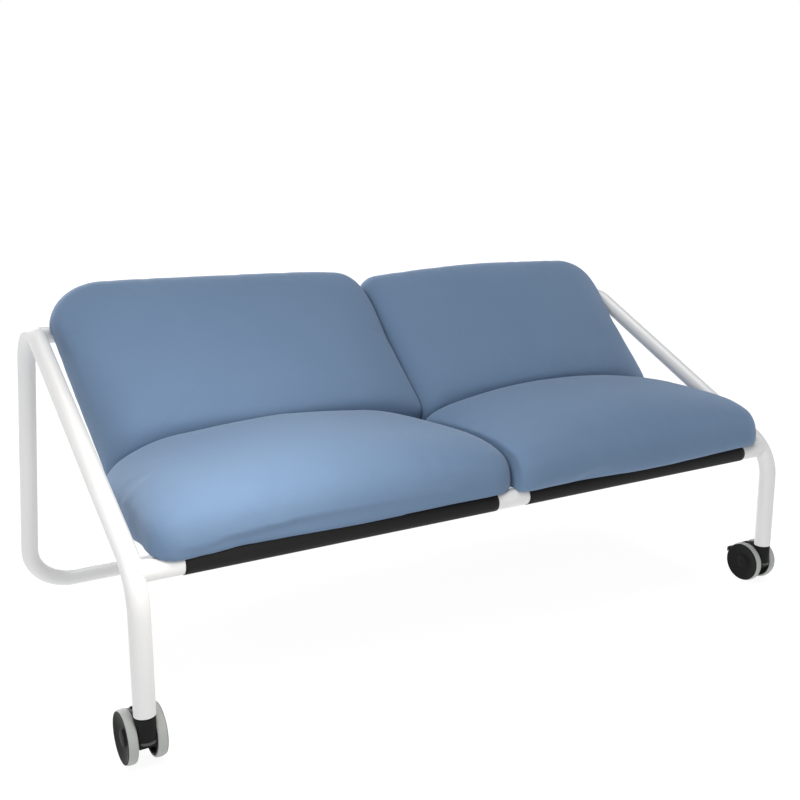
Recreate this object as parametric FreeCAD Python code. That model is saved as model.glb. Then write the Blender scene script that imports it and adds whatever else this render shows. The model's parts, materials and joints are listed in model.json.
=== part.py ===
import FreeCAD, Part
import math
import os
from FreeCAD import Vector

# Two-seat office sofa: a bent tube frame that stands on two braked twin-wheel casters in front
# and on its own floor bar behind, with two cloth slings that carry two seat and two back cushions.
# Millimetres. X runs along the sofa, the sitter faces -Y, Z is up from the floor.
# The origin is on the floor, under the middle of the sofa.

# Frame tube
TUBE_R = 16.0
TUBE_WALL = 2.0
SIDE_X = 660.0
FRONT_LEG_Y = -372.5
FLOOR_BAR_Y = 372.5
GLIDE_T = 2.5
FLOOR_BAR_Z = TUBE_R + GLIDE_T
LEG_END_Z = 81.0
ARM_START_Z = 282.5
ARM_SLOPE = math.radians(28.0)
REAR_LEAN = math.radians(15.0)
FRONT_BEND_R = 90.0
TOP_BEND_R = 80.0
FLOOR_BEND_R = 86.0
FRONT_BAR_TURN = math.radians(39.0)

# Joint in the middle of the floor bar
SPIGOT_R = 13.9
SPIGOT_WALL = 3.0
SPIGOT_LENGTH = 180.0
HALVES_GAP = 0.4
SPIGOT_SCREW_X = 45.0
SPIGOT_SCREW_LENGTH = 9.0

# Button-head screw and countersunk screw
SCREW_R = 3.0
SCREW_HEAD_R = 5.25
SCREW_HEAD_H = 3.3
SCREW_SOCKET_R = 2.3
SCREW_SOCKET_DEPTH = 2.0
SCREW_SLACK = 0.05
SCREW_SEAT_DEPTH = TUBE_R - math.sqrt(TUBE_R ** 2 - SCREW_HEAD_R ** 2)
GLIDE_SCREW_R = 1.9
GLIDE_SCREW_HEAD_R = 3.6
GLIDE_SCREW_TOP_Z = 9.0
GLIDE_SCREW_RECESS = 0.5

# Glides under the floor bar
GLIDE_X = 400.0
GLIDE_LENGTH = 44.0
GLIDE_WIDTH = 24.0
GLIDE_LIP = 8.0
GLIDE_SLACK = 0.05

# Cloth slings
SLING_T = 0.9
SLING_SLACK = 0.1
SLING_INNER_X = 34.0
SLING_OUTER_X = 593.0
SLING_RUN = 345.0
SLING_FOLD_R = 20.0
SLEEVE_R = TUBE_R + SLING_SLACK + SLING_T

# Cushions. An outline is (s, t) points of the round part of the section in the middle of a cushion:
# s from the fold of the sling, t from the sling's face, from above the bar round to the fold.
CUSHION_INNER_X = 8.0
CUSHION_OUTER_X = 640.0
CUSHION_LIFT = 2.2
CUSHION_GAP = 4.0
CUSHION_HEEL = 18.0
CUSHION_END_DEPTH = 46.0
CUSHION_END_INSET = 34.0
CROWN_DROP = 0.2
CROWN_POWER = 2.5
FOLD_FACE_T = 98.0
SEAT_OUTLINE = [
    (352, 1.6), (360, 2), (368, 12), (372, 30), (366, 54),
    (346, 82), (300, 108), (220, 128), (140, 137), (90, 130),
]
BACK_OUTLINE = [
    (357, -2), (368, -8), (386, -13), (405, -3), (414, 22), (410, 50),
    (392, 76), (350, 96), (270, 111), (180, 123), (110, 127), (80, 119),
]
# Places of the sections, in end depths from either end of a cushion
CUSHION_STRIPS = (0, 0.06, 0.22, 0.5, 1, 1.8, 3, 4.6)
COVER_T = 1.6
FOAM_SLACK = 0.4
GRIP_WIDTH = 25.0
GRIP_LENGTH = 420.0
GRIP_PLACES = (70.0, 250.0)

# Casters, about the swivel axis of one caster, with z from the floor
AXLE_Y = 25.8
AXLE_Z = 40.0
WHEEL_R = 40.0
WHEEL_INNER_X = 13.8
WHEEL_OUTER_X = 28.8
HUB_FACE_R = 38.0
HUB_SEAT_R = 36.0
HUB_RIM_R = 33.5
HUB_BOSS_R = 12.0
HUB_WEB_X = 21.0
HUB_FLANGE_T = 0.9
HUB_EDGE = 0.3
HUB_DISH = 4.6
HUB_DISH_RUN = 2.5
HUB_CAP_STEP = 1.4
HUB_CHAMFER = 1.4
TREAD_SLACK = 0.05
TREAD_STEP = 0.5
TREAD_OUTER_SHOULDER_R = 2.0
TREAD_INNER_SHOULDER_R = 3.4
AXLE_R = 4.0
AXLE_END_X = 25.0
AXLE_END_GAP = 0.3
RUN_SLACK = 0.05
COLUMN_R = 15.6
COLUMN_BOTTOM_Z = 40.0
COLUMN_TOP_Z = 79.0
HOOD_R = 36.5
HOOD_FLOOR_Z = 34.0
HOUSING_HALF = 12.8
WHEEL_CLEARANCE = 1.5
AXLE_BOSS_R = 9.0
STEM_R = 5.5
STEM_TOP_Z = 113.0
STEM_END_Z = 46.0
STEM_BORE_Z = 45.0
STEM_RING_Z = 104.0
STEM_RING_R = 6.6
SOCKET_R = 13.95
SOCKET_LENGTH = 40.0
WASHER_R = 12.0
WASHER_T = 1.8

# Brake pedal of a caster and its room in the housing; outlines are (y, z) points
PEDAL_Y = 44.0
PEDAL_Z = 64.0
PEDAL_PIN_R = 2.0
PEDAL_HALF = 8.0
TAB_HALF = 11.0
TAB_END_Y = 85.0
POCKET_HALF = 8.6
BRAKE_BAR_Y = 26.0
BRAKE_BAR_Z = 65.0
BRAKE_BAR_R = 2.5
BRAKE_BAR_HALF = 19.0
PEDAL_OUTLINE = [
    (23, 61), (23, 67), (40, 69.5), (43, 74), (46, 74), (48.5, 68.8), (62, 63.5), (78, 55), (84, 50),
    (85, 44), (82.5, 42.5), (79, 47.5), (62, 55.5), (44, 58),
]
TAB_OUTLINE = [(69.5, 59.5), (78, 55), (84, 50), (85, 44), (82.5, 42.5), (79, 47.5), (69.5, 52)]
POCKET_OUTLINE = [(19, 56), (40, 56), (48, 42), (75, 42), (75, 80), (36, 80), (31, 74), (19, 74)]
BAR_SLOT_OUTLINE = [(21.5, 60.5), (31.5, 60.5), (31.5, 74), (21.5, 74)]

ALONG_X = Vector(1, 0, 0)
ALONG_Y = Vector(0, 1, 0)
UP = Vector(0, 0, 1)
SIDES = (("left", -1), ("right", 1))


def save(name, shape):
    """Write one named piece."""
    shape.exportStep(f"parts/{name}.step")


def disc(radius, height, base, axis):
    """A solid cylinder from base along axis."""
    return Part.makeCylinder(radius, height, base, axis)


def ring(outer, inner, height, base, axis):
    """A cylinder with a hole through it."""
    return disc(outer, height, base, axis).cut(disc(inner, height, base, axis))


def block(low, high):
    """A box between two corners."""
    size = high - low
    return Part.makeBox(size.x, size.y, size.z, low)


def outline(points, x_low, x_high):
    """A closed outline of (y, z) points, carried along X between two places."""
    corners = [Vector(x_low, y, z) for y, z in points]
    face = Part.Face(Part.makePolygon(corners + corners[:1]))
    return face.extrude(ALONG_X * (x_high - x_low))


def turned(profile):
    """A closed outline of (x, radius) points, turned about the wheel axle."""
    corners = [Vector(x, AXLE_Y, AXLE_Z + radius) for x, radius in profile]
    face = Part.Face(Part.makePolygon(corners + corners[:1]))
    return face.revolve(Vector(0, AXLE_Y, AXLE_Z), ALONG_X, 360)


def bend(before, corner, after, radius):
    """The start, middle and end of the arc that rounds one corner of a path."""
    back = (before - corner).normalize()
    onward = (after - corner).normalize()
    half = back.getAngle(onward) / 2
    start = corner + back * (radius / math.tan(half))
    end = corner + onward * (radius / math.tan(half))
    inward = (back + onward).normalize()
    middle = corner + inward * (radius / math.sin(half) - radius)
    return start, middle, end


def rounded_path(points, radii):
    """Straight runs between the points, joined by tangent arcs."""
    edges = []
    here = points[0]
    for index, radius in enumerate(radii):
        start, middle, end = bend(*points[index:index + 3], radius)
        edges.append(Part.LineSegment(here, start).toShape())
        edges.append(Part.Arc(start, middle, end).toShape())
        here = end
    edges.append(Part.LineSegment(here, points[-1]).toShape())
    return Part.Wire(edges)


def rod(path, radius):
    """A solid round bar along a path."""
    first = path.OrderedEdges[0]
    start = first.valueAt(first.FirstParameter)
    section = Part.Wire(Part.Circle(start, first.tangentAt(first.FirstParameter), radius).toShape())
    return path.makePipeShell([section], True, False)


# Corners of the side tube's centre line, seen from the side
arm_rise = math.tan(ARM_SLOPE)
rear_run = math.tan(REAR_LEAN)
depth = FLOOR_BAR_Y - FRONT_LEG_Y
top_z = (ARM_START_Z + arm_rise * (depth + FLOOR_BAR_Z * rear_run)) / (1 + arm_rise * rear_run)
top_y = FRONT_LEG_Y + (top_z - ARM_START_Z) / arm_rise


def side_path(side):
    """Centre line of one side tube: leg, arm, rear leg and its half of the floor bar."""
    x = side * SIDE_X
    points = [
        Vector(x, FRONT_LEG_Y, LEG_END_Z),
        Vector(x, FRONT_LEG_Y, ARM_START_Z),
        Vector(x, top_y, top_z),
        Vector(x, FLOOR_BAR_Y, FLOOR_BAR_Z),
        Vector(side * HALVES_GAP / 2, FLOOR_BAR_Y, FLOOR_BAR_Z),
    ]
    return rounded_path(points, [FRONT_BEND_R, TOP_BEND_R, FLOOR_BEND_R])


# The front bar crosses the front bend and the top bar crosses the middle of the top bend
front_bar_y = FRONT_LEG_Y + FRONT_BEND_R * (1 - math.cos(FRONT_BAR_TURN))
front_bend_z = ARM_START_Z - FRONT_BEND_R * math.tan((math.pi / 2 - ARM_SLOPE) / 2)
front_bar_z = front_bend_z + FRONT_BEND_R * math.sin(FRONT_BAR_TURN)
top_bend = bend(
    Vector(0, FRONT_LEG_Y, ARM_START_Z),
    Vector(0, top_y, top_z),
    Vector(0, FLOOR_BAR_Y, FLOOR_BAR_Z),
    TOP_BEND_R,
)
front_axis = Vector(0, front_bar_y, front_bar_z)
top_axis = top_bend[1]


def button_screw(tip, axis, length):
    """A button-head socket screw from its tip along axis to its head."""
    seat = tip + axis * length
    shank = disc(SCREW_R, length, tip, axis)
    head = disc(SCREW_HEAD_R, SCREW_HEAD_H, seat, axis)
    rim = max(head.Edges, key=lambda edge: edge.CenterOfMass.dot(axis))
    head = head.makeFillet(SCREW_HEAD_H * 0.6, [rim])
    socket_base = seat + axis * (SCREW_HEAD_H - SCREW_SOCKET_DEPTH)
    socket = disc(SCREW_SOCKET_R, SCREW_SOCKET_DEPTH, socket_base, axis)
    return shank.fuse(head).cut(socket).removeSplitter()


def spigot_screw_holes():
    """Clearance for both spigot screws: a shank hole and a flat seat for the head."""
    tools = []
    for x in (-SPIGOT_SCREW_X, SPIGOT_SCREW_X):
        axis = Vector(x, FLOOR_BAR_Y, FLOOR_BAR_Z)
        head = axis - ALONG_Y * (TUBE_R - SCREW_SEAT_DEPTH)
        tools.append(disc(SCREW_R + SCREW_SLACK, TUBE_R, axis, -ALONG_Y))
        tools.append(disc(SCREW_HEAD_R + SCREW_SLACK, SCREW_HEAD_H, head, -ALONG_Y))
    return tools


def frame_tubes():
    """Both side tubes, both crossbars and the spigot that joins the floor bar."""
    solids = {name: rod(side_path(side), TUBE_R) for name, side in SIDES}
    holes = spigot_screw_holes()
    for name, side in SIDES:
        bore = rod(side_path(side), TUBE_R - TUBE_WALL)
        glide = Vector(side * GLIDE_X, FLOOR_BAR_Y, 0)
        glide_hole = disc(GLIDE_SCREW_R + SCREW_SLACK, FLOOR_BAR_Z, glide, UP)
        save(f"side_tube_{name}", solids[name].cut(bore).cut(glide_hole).cut(holes))
    for bar, axis in (("front_crossbar", front_axis), ("top_crossbar", top_axis)):
        base = Vector(-SIDE_X, axis.y, axis.z)
        tube = ring(TUBE_R, TUBE_R - TUBE_WALL, 2 * SIDE_X, base, ALONG_X)
        save(bar, max(tube.cut(list(solids.values())).Solids, key=lambda piece: piece.Volume))
    base = Vector(-SPIGOT_LENGTH / 2, FLOOR_BAR_Y, FLOOR_BAR_Z)
    spigot = ring(SPIGOT_R, SPIGOT_R - SPIGOT_WALL, SPIGOT_LENGTH, base, ALONG_X)
    save("floor_bar_spigot", spigot.cut(holes))
    screws = []
    for x in (-SPIGOT_SCREW_X, SPIGOT_SCREW_X):
        tip_y = FLOOR_BAR_Y - TUBE_R + SCREW_SEAT_DEPTH + SPIGOT_SCREW_LENGTH
        screws.append(button_screw(Vector(x, tip_y, FLOOR_BAR_Z), -ALONG_Y, SPIGOT_SCREW_LENGTH))
    save("spigot_screws", Part.makeCompound(screws))


def floor_glides():
    """Two plastic saddles under the floor bar, each held by a countersunk screw from below."""
    screws = []
    for name, side in SIDES:
        x = side * GLIDE_X
        low = Vector(x - GLIDE_LENGTH / 2, FLOOR_BAR_Y - GLIDE_WIDTH / 2, 0)
        high = Vector(x + GLIDE_LENGTH / 2, FLOOR_BAR_Y + GLIDE_WIDTH / 2, GLIDE_LIP)
        bar = disc(TUBE_R + GLIDE_SLACK, GLIDE_LENGTH, Vector(low.x, FLOOR_BAR_Y, FLOOR_BAR_Z), ALONG_X)
        foot = Vector(x, FLOOR_BAR_Y, 0)
        recess = disc(GLIDE_SCREW_HEAD_R + SCREW_SLACK, GLIDE_SCREW_RECESS, foot, UP)
        head_z = foot + UP * GLIDE_SCREW_RECESS
        taper = GLIDE_SCREW_HEAD_R - GLIDE_SCREW_R
        slack = SCREW_SLACK
        sink = Part.makeCone(GLIDE_SCREW_HEAD_R + slack, GLIDE_SCREW_R + slack, taper, head_z, UP)
        hole = disc(GLIDE_SCREW_R + slack, GLIDE_LIP, foot, UP)
        save(f"floor_glide_{name}", block(low, high).cut([bar, recess, sink, hole]))
        head = Part.makeCone(GLIDE_SCREW_HEAD_R, GLIDE_SCREW_R, taper, head_z, UP)
        shank_base = head_z + UP * taper
        shank = disc(GLIDE_SCREW_R, GLIDE_SCREW_TOP_Z - shank_base.z, shank_base, UP)
        screws.append(head.fuse(shank).removeSplitter())
    save("glide_screws", Part.makeCompound(screws))


def fold_line():
    """Where the seat and back of the sling meet: one sling run from both bars, below them."""
    middle = (front_axis + top_axis) * 0.5
    across = top_axis - front_axis
    drop = math.sqrt(SLING_RUN ** 2 - (across.Length / 2) ** 2)
    downward = Vector(0, across.z, -across.y).normalize()
    return middle + downward * drop


FOLD = fold_line()
SLING_TILT = math.asin(SLEEVE_R / SLING_RUN)
SLING_STRAIGHT = SLING_RUN * math.cos(SLING_TILT)


class Plane:
    """The seat or back plane of the sling: s runs from the fold to the bar, t towards the sitter."""

    def __init__(self, bar_axis, turn):
        toward = bar_axis - FOLD
        angle = math.atan2(toward.z, toward.y) + turn * SLING_TILT
        self.along = Vector(0, math.cos(angle), math.sin(angle))
        self.out = Vector(0, -math.sin(angle) * turn, math.cos(angle) * turn)

    def at(self, x, s, t):
        """The point at s and t in the plane's section at x."""
        return Vector(x, FOLD.y, FOLD.z) + self.along * s + self.out * t


SEAT = Plane(front_axis, -1)
BACK = Plane(top_axis, 1)
FOLD_HALF_ANGLE = SEAT.along.getAngle(BACK.along) / 2


def sling(name, side):
    """One cloth sling: a sleeve round each bar and one sheet that is folded between them."""
    low = min(side * SLING_INNER_X, side * SLING_OUTER_X)
    width = SLING_OUTER_X - SLING_INNER_X
    pieces = []
    for axis in (front_axis, top_axis):
        base = Vector(low, axis.y, axis.z)
        pieces.append(ring(SLEEVE_R, SLEEVE_R - SLING_T, width, base, ALONG_X))
    upper = [SEAT.at(low, SLING_STRAIGHT, 0), SEAT.at(low, 0, 0), BACK.at(low, SLING_STRAIGHT, 0)]
    below = -SLING_T / math.sin(FOLD_HALF_ANGLE)
    bisector = (SEAT.along + BACK.along).normalize()
    lower = [
        SEAT.at(low, SLING_STRAIGHT, -SLING_T),
        Vector(low, FOLD.y, FOLD.z) + bisector * below,
        BACK.at(low, SLING_STRAIGHT, -SLING_T),
    ]
    top = rounded_path(upper, [SLING_FOLD_R])
    bottom = rounded_path(lower, [SLING_FOLD_R + SLING_T])
    ends = [Part.LineSegment(upper[i], lower[i]).toShape() for i in (0, 2)]
    border = Part.Wire(Part.__sortEdges__(top.Edges + bottom.Edges + ends))
    pieces.append(Part.Face(border).extrude(ALONG_X * width))
    bars = [disc(SLEEVE_R - SLING_T, width, Vector(low, a.y, a.z), ALONG_X) for a in (front_axis, top_axis)]
    save(f"sling_{name}", pieces[0].fuse(pieces[1:]).cut(bars).removeSplitter())


def cushion_section(plane, points, x, inset, fullness):
    """One section of a cushion at x: flatter away from the middle, and drawn in by inset near an end."""
    fold_slope = 1 / math.tan(FOLD_HALF_ANGLE)
    fold_shift = CUSHION_GAP / 2 / math.sin(FOLD_HALF_ANGLE)
    face_t = FOLD_FACE_T * fullness
    section = [(fold_shift + CUSHION_HEEL, CUSHION_LIFT), (SLING_STRAIGHT, CUSHION_LIFT)]
    section += [(s, t * fullness if t > 0 else t) for s, t in points]
    section += [(fold_shift + fold_slope * t, t) for t in (face_t, CUSHION_HEEL)]
    all_s, all_t = zip(*section)
    middle_s, half_s = (max(all_s) + min(all_s)) / 2, (max(all_s) - min(all_s)) / 2
    middle_t, half_t = (max(all_t) + min(all_t)) / 2, (max(all_t) - min(all_t)) / 2

    def placed(s, t):
        new_s = middle_s + (s - middle_s) * (1 - inset / half_s)
        new_t = middle_t + (t - middle_t) * (1 - inset / half_t)
        return plane.at(x, new_s, new_t)

    corners = [placed(*point) for point in section]
    curve = Part.BSplineCurve()
    curve.interpolate(corners[1:-1])
    edges = [
        Part.LineSegment(corners[0], corners[1]).toShape(),
        curve.toShape(),
        Part.LineSegment(corners[-2], corners[-1]).toShape(),
        Part.LineSegment(corners[-1], corners[0]).toShape(),
    ]
    return Part.Wire(edges)


def cushion_body(plane, points, side, shrink):
    """A crowned cushion, round at both ends: sections across its width, joined in strips."""
    middle = side * (CUSHION_INNER_X + CUSHION_OUTER_X) / 2
    half = (CUSHION_OUTER_X - CUSHION_INNER_X) / 2 - shrink
    from_end = [CUSHION_END_DEPTH * share for share in CUSHION_STRIPS]
    places = [-half + d for d in from_end] + [0] + [half - d for d in reversed(from_end)]
    sections = []
    for place in places:
        near_end = max(0, 1 - (half - abs(place)) / CUSHION_END_DEPTH)
        drawn_in = CUSHION_END_INSET * (1 - math.sqrt(1 - near_end ** 2))
        fullness = 1 - CROWN_DROP * (abs(place) / half) ** CROWN_POWER
        sections.append(cushion_section(plane, points, middle + place, shrink + drawn_in, fullness))
    return Part.makeLoft(sections, True, True)


def cushions():
    """Each cushion as a closed fabric cover with a foam block inside it."""
    for kind, plane, points in (("seat", SEAT, SEAT_OUTLINE), ("back", BACK, BACK_OUTLINE)):
        for name, side in SIDES:
            outer = cushion_body(plane, points, side, 0)
            hollow = cushion_body(plane, points, side, COVER_T)
            save(f"{kind}_cover_{name}", outer.cut(hollow))
            save(f"{kind}_foam_{name}", cushion_body(plane, points, side, COVER_T + FOAM_SLACK))


def grip_strips(name, side):
    """Hook-and-loop strips between the sling and both cushions of one seat place."""
    middle = side * (SLING_INNER_X + SLING_OUTER_X) / 2
    strips = []
    for plane in (SEAT, BACK):
        for place in GRIP_PLACES:
            corners = [
                plane.at(middle - GRIP_LENGTH / 2, place, 0),
                plane.at(middle - GRIP_LENGTH / 2, place + GRIP_WIDTH, 0),
                plane.at(middle + GRIP_LENGTH / 2, place + GRIP_WIDTH, 0),
                plane.at(middle + GRIP_LENGTH / 2, place, 0),
            ]
            face = Part.Face(Part.makePolygon(corners + corners[:1]))
            strips.append(face.extrude(plane.out * CUSHION_LIFT))
    save(f"grip_strips_{name}", Part.makeCompound(strips))


def leg_fittings(name, side):
    """What holds a caster in its leg: a socket in the tube, the stem and a thrust washer."""
    foot = Vector(side * SIDE_X, FRONT_LEG_Y, 0)
    end = foot + UP * LEG_END_Z
    save(f"stem_socket_{name}", ring(SOCKET_R, STEM_RING_R + RUN_SLACK, SOCKET_LENGTH, end, UP))
    stem = disc(STEM_R, STEM_TOP_Z - STEM_END_Z, foot + UP * STEM_END_Z, UP)
    sleeve = ring(STEM_RING_R, STEM_R, STEM_RING_Z - LEG_END_Z, end, UP)
    save(f"caster_stem_{name}", stem)
    save(f"stem_sleeve_{name}", sleeve)
    save(f"thrust_washer_{name}", ring(WASHER_R, STEM_R + RUN_SLACK, WASHER_T, end - UP * WASHER_T, UP))


def caster_housing():
    """Column under the leg and hood between the wheels, with room for the brake pedal."""
    axle_base = Vector(-HOUSING_HALF, AXLE_Y, AXLE_Z)
    column = disc(COLUMN_R, COLUMN_TOP_Z - COLUMN_BOTTOM_Z, UP * COLUMN_BOTTOM_Z, UP)
    hood = disc(HOOD_R, 2 * HOUSING_HALF, axle_base, ALONG_X)
    low = Vector(-HOUSING_HALF, AXLE_Y - HOOD_R, AXLE_Z - HOOD_R)
    hood = hood.cut(block(low, Vector(HOUSING_HALF, AXLE_Y + HOOD_R, HOOD_FLOOR_Z)))
    boss = disc(AXLE_BOSS_R, 2 * HOUSING_HALF, axle_base, ALONG_X)
    body = column.fuse([hood, boss])
    tools = [
        disc(STEM_R + RUN_SLACK, COLUMN_TOP_Z, UP * STEM_BORE_Z, UP),
        disc(AXLE_R, 2 * HOUSING_HALF, axle_base, ALONG_X),
        outline(POCKET_OUTLINE, -POCKET_HALF, POCKET_HALF),
        outline(BAR_SLOT_OUTLINE, -HOUSING_HALF, HOUSING_HALF),
        disc(PEDAL_PIN_R, 2 * HOUSING_HALF, Vector(-HOUSING_HALF, PEDAL_Y, PEDAL_Z), ALONG_X),
    ]
    for side in (-1, 1):
        flank = Vector(side * HOUSING_HALF, AXLE_Y, AXLE_Z)
        tools.append(disc(WHEEL_R + WHEEL_CLEARANCE, COLUMN_R, flank, ALONG_X * side))
    return body.cut(tools).removeSplitter()


def brake_pedal():
    """Foot pedal on a pin: a tab behind, and a cross bar in front that reaches into both hubs."""
    bar_base = Vector(-BRAKE_BAR_HALF, BRAKE_BAR_Y, BRAKE_BAR_Z)
    bar = disc(BRAKE_BAR_R, 2 * BRAKE_BAR_HALF, bar_base, ALONG_X)
    lever = outline(PEDAL_OUTLINE, -PEDAL_HALF, PEDAL_HALF)
    tab = outline(TAB_OUTLINE, -TAB_HALF, TAB_HALF)
    pin_base = Vector(-PEDAL_HALF, PEDAL_Y, PEDAL_Z)
    pin = disc(PEDAL_PIN_R + RUN_SLACK, 2 * PEDAL_HALF, pin_base, ALONG_X)
    round_y = TAB_END_Y - TAB_HALF
    corners = block(Vector(-TAB_HALF, round_y, 0), Vector(TAB_HALF, round_y + 2 * TAB_HALF, COLUMN_TOP_Z))
    corners = corners.cut(disc(TAB_HALF, COLUMN_TOP_Z, Vector(0, round_y, 0), UP))
    return lever.fuse([tab, bar]).cut([pin, corners]).removeSplitter()


def hub():
    """A wheel centre with a dished face and a central boss outside, and a brake rim inside."""
    bore_end = AXLE_END_X + AXLE_END_GAP
    flange_x = WHEEL_OUTER_X - HUB_FLANGE_T
    dish_x = WHEEL_OUTER_X - HUB_DISH
    cap_x = WHEEL_OUTER_X - HUB_CAP_STEP
    return turned([
        (WHEEL_INNER_X, HUB_RIM_R),
        (WHEEL_INNER_X, HUB_SEAT_R),
        (flange_x, HUB_SEAT_R),
        (flange_x, HUB_FACE_R),
        (WHEEL_OUTER_X - HUB_EDGE, HUB_FACE_R),
        (WHEEL_OUTER_X, HUB_FACE_R - HUB_EDGE),
        (WHEEL_OUTER_X, HUB_RIM_R),
        (dish_x, HUB_BOSS_R + HUB_DISH_RUN),
        (dish_x, HUB_BOSS_R),
        (cap_x, HUB_BOSS_R - HUB_CHAMFER),
        (cap_x, 0),
        (bore_end, 0),
        (bore_end, AXLE_R + RUN_SLACK),
        (WHEEL_INNER_X, AXLE_R + RUN_SLACK),
        (WHEEL_INNER_X, HUB_BOSS_R - HUB_CHAMFER),
        (HUB_WEB_X, HUB_BOSS_R),
        (HUB_WEB_X, HUB_RIM_R),
    ])


def tread():
    """A soft ring with round shoulders, rounder towards the housing."""
    inner = WHEEL_INNER_X + TREAD_STEP
    outer = WHEEL_OUTER_X - HUB_FLANGE_T - TREAD_SLACK
    base = Vector(inner, AXLE_Y, AXLE_Z)
    band = ring(WHEEL_R, HUB_SEAT_R + TREAD_SLACK, outer - inner, base, ALONG_X)
    for x, radius in ((inner, TREAD_INNER_SHOULDER_R), (outer, TREAD_OUTER_SHOULDER_R)):
        rims = [edge for edge in band.Edges if edge.Closed and edge.BoundBox.ZLength > 2 * HUB_FACE_R]
        band = band.makeFillet(radius, [edge for edge in rims if abs(edge.BoundBox.XMin - x) < radius / 4])
    return band


def caster(name, side):
    """One twin-wheel caster with its brake, in place under its leg."""
    place = Vector(side * SIDE_X, FRONT_LEG_Y, 0)
    axle = disc(AXLE_R, 2 * AXLE_END_X, Vector(-AXLE_END_X, AXLE_Y, AXLE_Z), ALONG_X)
    pin = disc(PEDAL_PIN_R, 2 * HOUSING_HALF, Vector(-HOUSING_HALF, PEDAL_Y, PEDAL_Z), ALONG_X)
    pieces = {
        f"caster_housing_{name}": caster_housing(),
        f"caster_axle_{name}": axle,
        f"pedal_pin_{name}": pin,
        f"brake_pedal_{name}": brake_pedal(),
    }
    for where, turn in (("outer", side), ("inner", -side)):
        for kind, shape in (("hub", hub()), ("tread", tread())):
            if turn < 0:
                shape = shape.mirror(Vector(0, 0, 0), ALONG_X)
            pieces[f"{where}_{kind}_{name}"] = shape
    for piece, shape in pieces.items():
        shape.translate(place)
        save(piece, shape)


os.makedirs("parts", exist_ok=True)
frame_tubes()
floor_glides()
cushions()
for side_name, side_sign in SIDES:
    sling(side_name, side_sign)
    grip_strips(side_name, side_sign)
    leg_fittings(side_name, side_sign)
    caster(side_name, side_sign)
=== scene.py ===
import json
import logging
import math
from dataclasses import dataclass, field
from enum import Enum

import bmesh
import bpy
import numpy as np
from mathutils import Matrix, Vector


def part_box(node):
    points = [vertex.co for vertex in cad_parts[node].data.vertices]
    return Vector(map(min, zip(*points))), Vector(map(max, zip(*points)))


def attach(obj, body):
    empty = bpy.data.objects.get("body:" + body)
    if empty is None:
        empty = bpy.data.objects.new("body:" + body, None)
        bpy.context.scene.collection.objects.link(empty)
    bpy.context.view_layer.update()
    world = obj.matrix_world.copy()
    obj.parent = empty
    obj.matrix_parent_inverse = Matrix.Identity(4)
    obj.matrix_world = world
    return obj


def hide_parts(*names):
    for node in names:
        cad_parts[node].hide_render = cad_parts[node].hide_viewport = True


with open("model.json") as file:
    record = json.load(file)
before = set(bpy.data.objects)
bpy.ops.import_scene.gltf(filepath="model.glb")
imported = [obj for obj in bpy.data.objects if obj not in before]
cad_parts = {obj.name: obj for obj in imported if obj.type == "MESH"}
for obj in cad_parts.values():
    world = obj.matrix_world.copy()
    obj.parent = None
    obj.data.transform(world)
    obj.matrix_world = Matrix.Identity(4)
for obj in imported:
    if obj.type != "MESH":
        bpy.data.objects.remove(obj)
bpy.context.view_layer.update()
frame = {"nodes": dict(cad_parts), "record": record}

# Two-seat office sofa, dressed around its frame. Metres; X along the sofa, the sitter faces -Y, Z is up.

LOG = logging.getLogger("office_sofa")
Array = np.ndarray
MM = 0.001


class Named(Enum):
    """A choice that is part of the names of the frame's pieces."""

    @property
    def word(self) -> str:
        """The choice as the frame's pieces spell it."""
        return self.name.lower()


class Side(Named):
    """The two halves of the sofa, with the sign of their X."""

    LEFT = -1
    RIGHT = 1


class Row(Named):
    """The two wheels of a caster, with the way their outer faces look from the leg."""

    OUTER = 1
    INNER = -1


# Meshes


def quads(rows: int, columns: int, wrap_rows: bool = False, wrap_columns: bool = False) -> Array:
    """Corner numbers of the faces of a grid of points.

    Args:
        rows: points along the first parameter.
        columns: points along the second parameter.
        wrap_rows: whether the last row joins the first.
        wrap_columns: whether the last column joins the first.

    Returns:
        One row of four point numbers per face.
    """
    first = np.arange(rows if wrap_rows else rows - 1)
    second = np.arange(columns if wrap_columns else columns - 1)
    i, j = np.meshgrid(first, second, indexing="ij")
    k, m = (i + 1) % rows, (j + 1) % columns
    corners = [i * columns + j, k * columns + j, k * columns + m, i * columns + m]
    return np.stack(corners, axis=-1).reshape(-1, 4)


def mesh_of(name: str, points: Array, faces: list) -> bpy.types.Mesh:
    """A smooth mesh from points and faces, with doubled points merged and faces turned outwards.

    Args:
        name: the mesh's name.
        points: any shape that ends in three coordinates.
        faces: rows of point numbers.

    Returns:
        The new mesh.
    """
    mesh = bpy.data.meshes.new(name)
    mesh.from_pydata(np.asarray(points).reshape(-1, 3).tolist(), [], [list(face) for face in faces])
    shape = bmesh.new()
    shape.from_mesh(mesh)
    bmesh.ops.remove_doubles(shape, verts=shape.verts, dist=1e-6)
    bmesh.ops.dissolve_degenerate(shape, edges=shape.edges, dist=1e-7)
    bmesh.ops.recalc_face_normals(shape, faces=shape.faces)
    shape.to_mesh(mesh)
    shape.free()
    shade_smooth(mesh)
    return mesh


def shade_smooth(mesh: bpy.types.Mesh) -> None:
    """Shades all faces of a mesh smooth."""
    mesh.polygons.foreach_set("use_smooth", np.full(len(mesh.polygons), True))
    mesh.update()


def coordinates(mesh: bpy.types.Mesh) -> Array:
    """All points of a mesh as one array."""
    flat = np.empty(len(mesh.vertices) * 3)
    mesh.vertices.foreach_get("co", flat)
    return flat.reshape(-1, 3)


def set_coordinates(mesh: bpy.types.Mesh, points: Array) -> None:
    """Moves all points of a mesh."""
    mesh.vertices.foreach_set("co", np.ascontiguousarray(points, dtype=float).ravel())
    mesh.update()


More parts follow.
